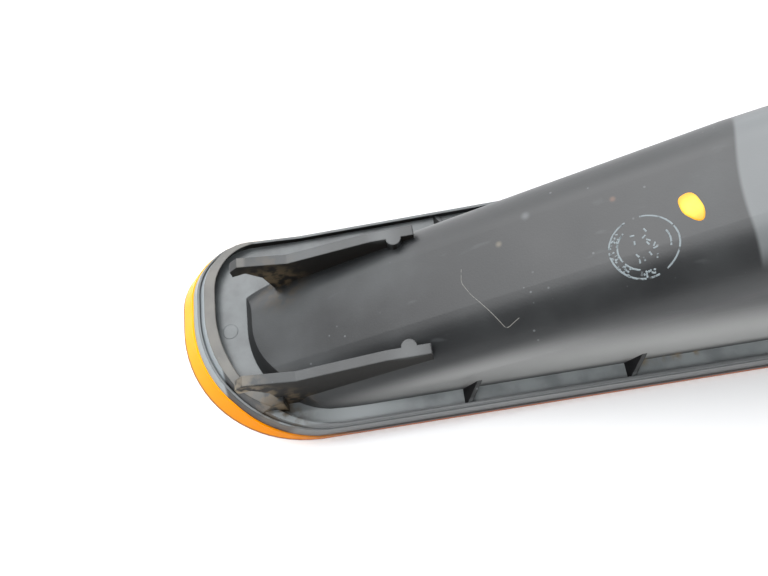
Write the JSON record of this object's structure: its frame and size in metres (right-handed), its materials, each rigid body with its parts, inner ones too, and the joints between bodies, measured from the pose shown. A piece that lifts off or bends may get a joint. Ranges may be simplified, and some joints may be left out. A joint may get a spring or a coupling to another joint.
{
  "type": "front indicator lamp",
  "caption": "Long slim front indicator lamp for a car bumper: black hollow housing with clip rails on its back, amber lens, bayonet bulb in a twist-in holder.",
  "frame": {"origin": "centre of the flat lens face, on the surface that the lamp lies on", "axes": "+X along the lamp from the clip rails to the bulb end, +Y across it, +Z from the lens to the back"},
  "size_m": [0.2338, 0.0448, 0.066],
  "materials": {
    "black_plastic": "satin moulded",
    "amber_plastic": "polished, see-through amber",
    "sealing_bead": "soft bead",
    "reflector_metal": "vacuum metallised",
    "holder_plastic": "satin moulded",
    "seal_rubber": "matt",
    "bulb_glass": "clear",
    "cap_brass": "drawn, slightly dull",
    "black_glass": "glossy",
    "solder": "soft grey",
    "tungsten": "dull",
    "terminal_brass": "tinned strip"
  },
  "bodies": {
    "root": {"housing": "black_plastic", "lens": "amber_plastic", "lens_seal": "sealing_bead", "reflector": "reflector_metal", "bulb_holder": "holder_plastic", "holder_seal": "seal_rubber", "bulb_glass": "bulb_glass", "bulb_stem": "bulb_glass", "bulb_cap": "cap_brass", "bulb_insulator": "black_glass", "bulb_contact": "solder", "filament": "tungsten", "filament_supports": "tungsten", "live_terminal": "terminal_brass", "earth_terminal": "terminal_brass"}
  },
  "joints": []
}
